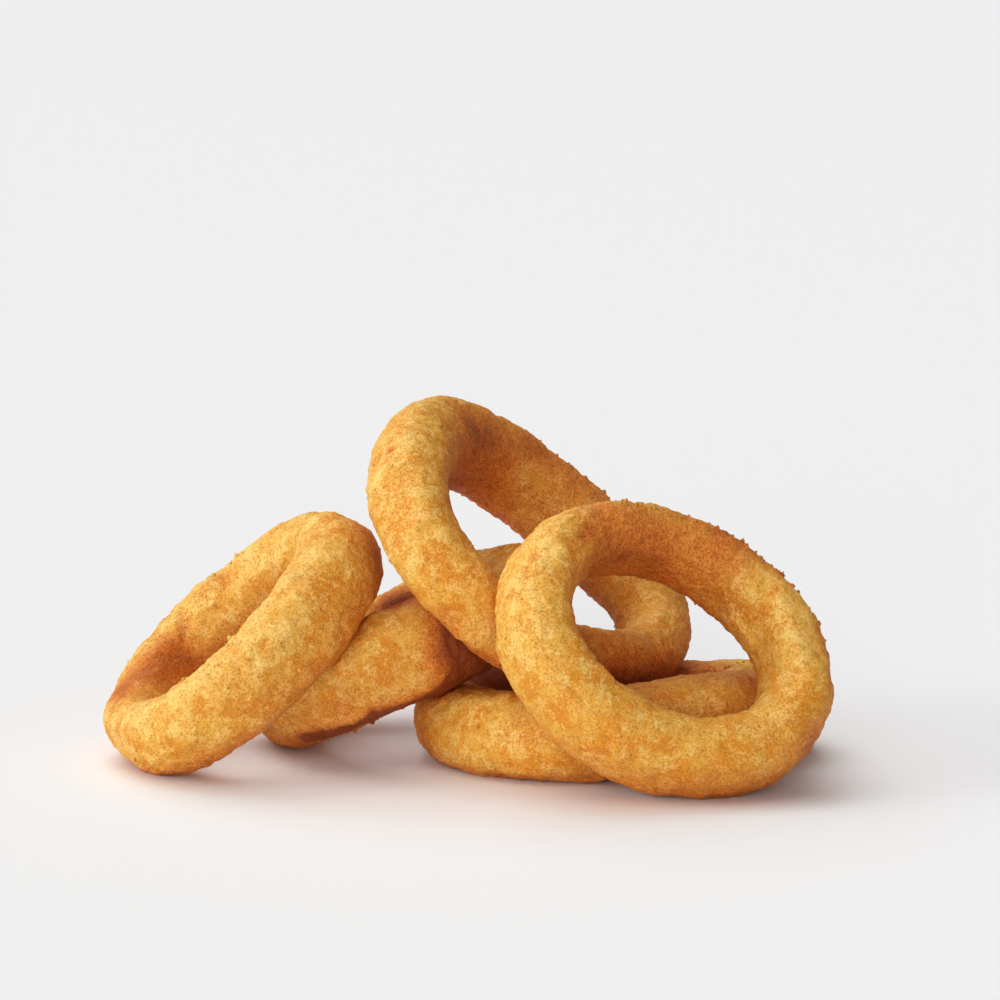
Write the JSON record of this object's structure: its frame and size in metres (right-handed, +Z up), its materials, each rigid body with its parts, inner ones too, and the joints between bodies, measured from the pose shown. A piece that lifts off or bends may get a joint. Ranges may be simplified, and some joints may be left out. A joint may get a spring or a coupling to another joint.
{
  "type": "onion rings side",
  "caption": "Side of battered and fried onion rings: thick, oval, slightly warped crusted loops leaning on one another in a loose heap, standing on small flat spots.",
  "frame": {"origin": "on the table, under the middle of the heap's bounding box", "axes": "+X along the heap's long way, to the right as seen from the front; +Y to the back; +Z up"},
  "size_m": [0.165, 0.1058, 0.0816],
  "materials": {
    "crust_left": "dry golden batter crust, finely grained and mottled",
    "crust_back": "dry golden-brown batter crust, finely grained and mottled",
    "crust_top": "dry pale golden batter crust, finely grained and mottled",
    "crust_front": "dry golden batter crust with darker browned lumps",
    "crust_bottom": "dry golden-brown batter crust, finely grained and mottled"
  },
  "bodies": {
    "root": {"ring_left": "crust_left", "ring_back": "crust_back", "ring_top": "crust_top", "ring_front": "crust_front", "ring_bottom": "crust_bottom"}
  },
  "joints": []
}
